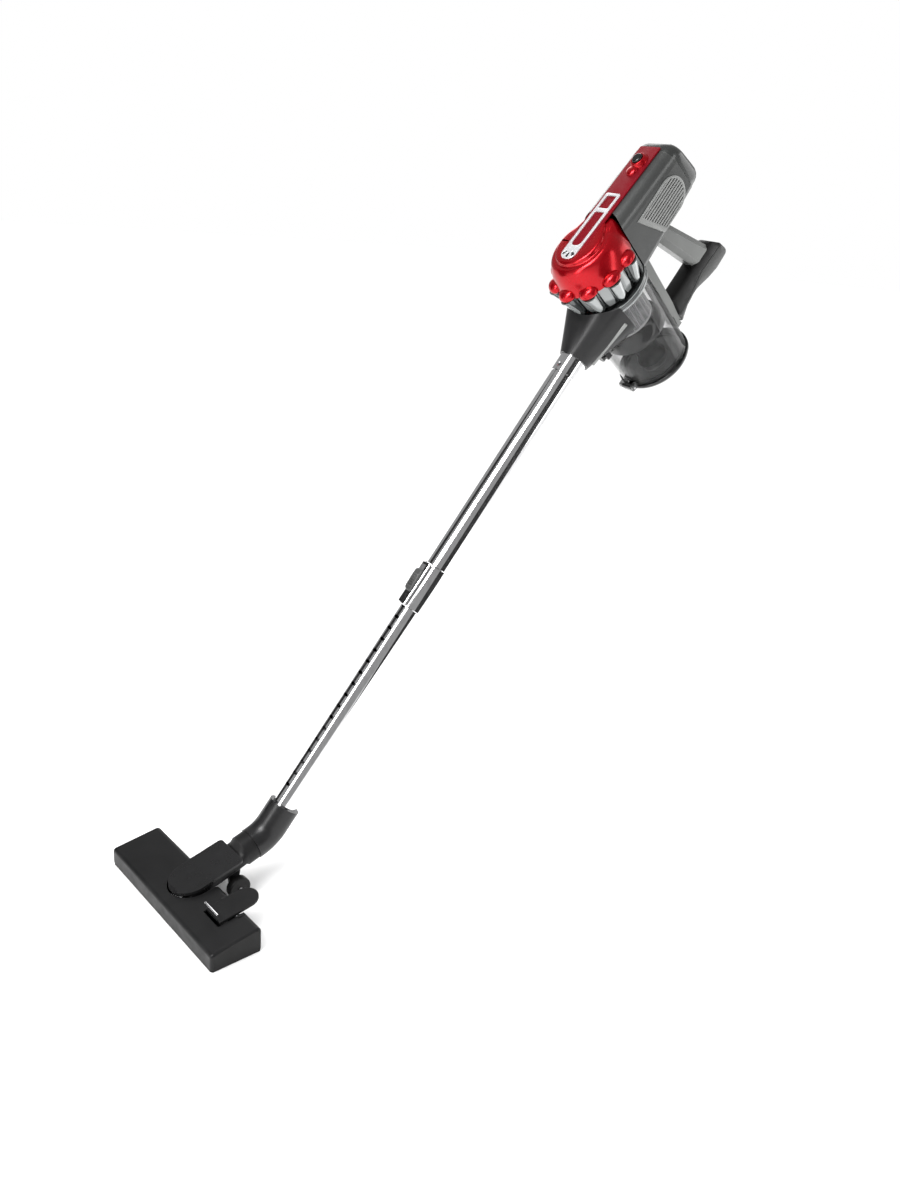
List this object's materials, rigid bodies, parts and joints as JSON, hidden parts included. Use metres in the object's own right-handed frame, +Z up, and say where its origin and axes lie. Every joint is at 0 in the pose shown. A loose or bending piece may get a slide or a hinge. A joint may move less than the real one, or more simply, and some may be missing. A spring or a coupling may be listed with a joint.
{
  "type": "stick vacuum cleaner",
  "caption": "Upright stick vacuum cleaner with a cyclone hand unit, clear dust cup, loop handle, telescopic chrome wand and a swivelling floor head.",
  "frame": {"origin": "middle of the floor head's sole, on the floor", "axes": "+Z up, +X to the user's right along the floor head, +Y back from the head towards the user"},
  "size_m": [0.2794, 0.8167, 0.9488],
  "materials": {
    "red_gloss": "candy red gloss",
    "silver_trim": "bright silver paint",
    "cone_smoke": "smoky grey gloss",
    "clear_smoke": "clear smoked plastic",
    "mesh_grey": "fine filter mesh",
    "inner_black": "satin black",
    "gunmetal": "satin gunmetal",
    "light_grey": "satin grey",
    "connector_grey": "satin dark grey",
    "chrome_tube": "polished chrome",
    "steel": "plain steel",
    "head_black": "satin charcoal",
    "soft_black": "soft black rubber",
    "bristle": "black bristle",
    "filter_pleat": "pleated filter",
    "button_black": "gloss black"
  },
  "bodies": {
    "hand_unit": {"red_cover": "red_gloss", "silver_trim": "silver_trim", "cyclone_block": "cone_smoke", "cup_collar": "clear_smoke", "mesh_filter": "mesh_grey", "shroud_skirt": "inner_black", "fine_dust_tube": "inner_black", "dust_cup": "clear_smoke", "lid_hinge_pin": "steel", "nozzle_connector": "connector_grey", "connector_trims": "light_grey", "motor_housing": "gunmetal", "end_cap": "gunmetal", "vent_grille_left": "light_grey", "vent_grille_right": "light_grey", "cord_gland": "soft_black", "motor_can": "steel", "motor_mount": "soft_black", "exhaust_filter": "filter_pleat", "power_switch": "inner_black", "cap_screws": "steel", "handle_frame": "light_grey", "handle_grip": "soft_black", "grip_back": "light_grey"},
    "power_button": {"power_button": "button_black"},
    "cup_release": {"cup_release": "button_black"},
    "fan": {"motor_shaft": "steel", "fan_impeller": "inner_black"},
    "cup_lid": {"cup_lid": "clear_smoke", "lid_gasket": "soft_black"},
    "lid_latch": {"lid_latch": "connector_grey"},
    "upper_wand": {"outer_tube": "chrome_tube", "coupling_sleeve": "chrome_tube", "telescope_collar": "chrome_tube"},
    "lock_slider": {"lock_slider": "connector_grey"},
    "lower_wand": {"inner_tube": "chrome_tube", "elbow": "head_black"},
    "neck": {"neck": "head_black", "neck_cover": "head_black", "pivot_pin": "steel", "wheel_axle": "steel"},
    "floor_head": {"head_housing": "head_black", "base_tray": "inner_black", "pedal_pin": "steel", "sole_screws": "steel"},
    "left_wheel": {"rear_wheel_left": "soft_black"},
    "right_wheel": {"rear_wheel_right": "soft_black"},
    "pedal": {"pedal": "head_black"},
    "front_brush": {"brush_strip_front": "bristle"},
    "rear_brush": {"brush_strip_rear": "bristle"}
  },
  "joints": [
    {"name": "button_press", "type": "slide", "parent": "hand_unit", "child": "power_button", "axis": [0.0426, 0.7705, -0.636], "range_m": [0, 0.0015], "stiffness_N_per_m": 1500, "springref_m": -0.0008},
    {"name": "release_press", "type": "slide", "parent": "hand_unit", "child": "cup_release", "axis": [0.1064, 0.6294, 0.7697], "range_m": [0, 0.0012], "stiffness_N_per_m": 1500, "springref_m": -0.0008},
    {"name": "fan_spin", "type": "hinge", "parent": "hand_unit", "child": "fan", "pos_m": [0.09061, 0.58493, 0.84389], "axis": [0.1021, 0.557, 0.8242], "continuous": true},
    {"name": "lid_swing", "type": "hinge", "parent": "hand_unit", "child": "cup_lid", "pos_m": [0.08554, 0.64709, 0.63951], "axis": [-0.9934, 0.1005, 0.0552], "range_deg": [0, 80]},
    {"name": "latch_release", "type": "hinge", "parent": "hand_unit", "child": "lid_latch", "pos_m": [0.0348, 0.67954, 0.69273], "axis": [0.1064, 0.6294, 0.7697], "range_deg": [0, 10], "stiffness_Nm_per_rad": 0.8, "springref_deg": -5.73},
    {"name": "wand_pull", "type": "slide", "parent": "hand_unit", "child": "upper_wand", "axis": [-0.1021, -0.557, -0.8242], "range_m": [0, 0.034]},
    {"name": "slider_push", "type": "slide", "parent": "upper_wand", "child": "lock_slider", "axis": [0.1021, 0.557, 0.8242], "range_m": [0, 0.006], "stiffness_N_per_m": 400, "springref_m": -0.002},
    {"name": "telescope", "type": "slide", "parent": "upper_wand", "child": "lower_wand", "axis": [0.1021, 0.557, 0.8242], "range_m": [0, 0.27]},
    {"name": "elbow_swivel", "type": "hinge", "parent": "lower_wand", "child": "neck", "pos_m": [0, 0.1198, 0.0593], "axis": [0, 0.946, 0.3241], "range_deg": [-60, 60]},
    {"name": "neck_pitch", "type": "hinge", "parent": "neck", "child": "floor_head", "pos_m": [0, 0.008, 0.021], "axis": [1, 0, 0], "range_deg": [-16, 12]},
    {"name": "left_wheel_roll", "type": "hinge", "parent": "neck", "child": "left_wheel", "pos_m": [-0.027, 0.063, 0.0153], "axis": [1, 0, 0], "continuous": true},
    {"name": "right_wheel_roll", "type": "hinge", "parent": "neck", "child": "right_wheel", "pos_m": [0.027, 0.063, 0.0153], "axis": [1, 0, 0], "continuous": true},
    {"name": "pedal_press", "type": "hinge", "parent": "floor_head", "child": "pedal", "pos_m": [0.077, 0.026, 0.02882], "axis": [1, 0, 0], "range_deg": [0, 5]},
    {"name": "front_brush_lift", "type": "slide", "parent": "floor_head", "child": "front_brush", "axis": [0, 0, 1], "range_m": [0, 0.004]},
    {"name": "rear_brush_lift", "type": "slide", "parent": "floor_head", "child": "rear_brush", "axis": [0, 0, 1], "range_m": [0, 0.004]}
  ],
  "couplings": [
    {"joint": "pedal_press", "follows": "front_brush_lift", "rad_per_m": 21.817},
    {"joint": "rear_brush_lift", "follows": "front_brush_lift", "ratio": 1}
  ]
}
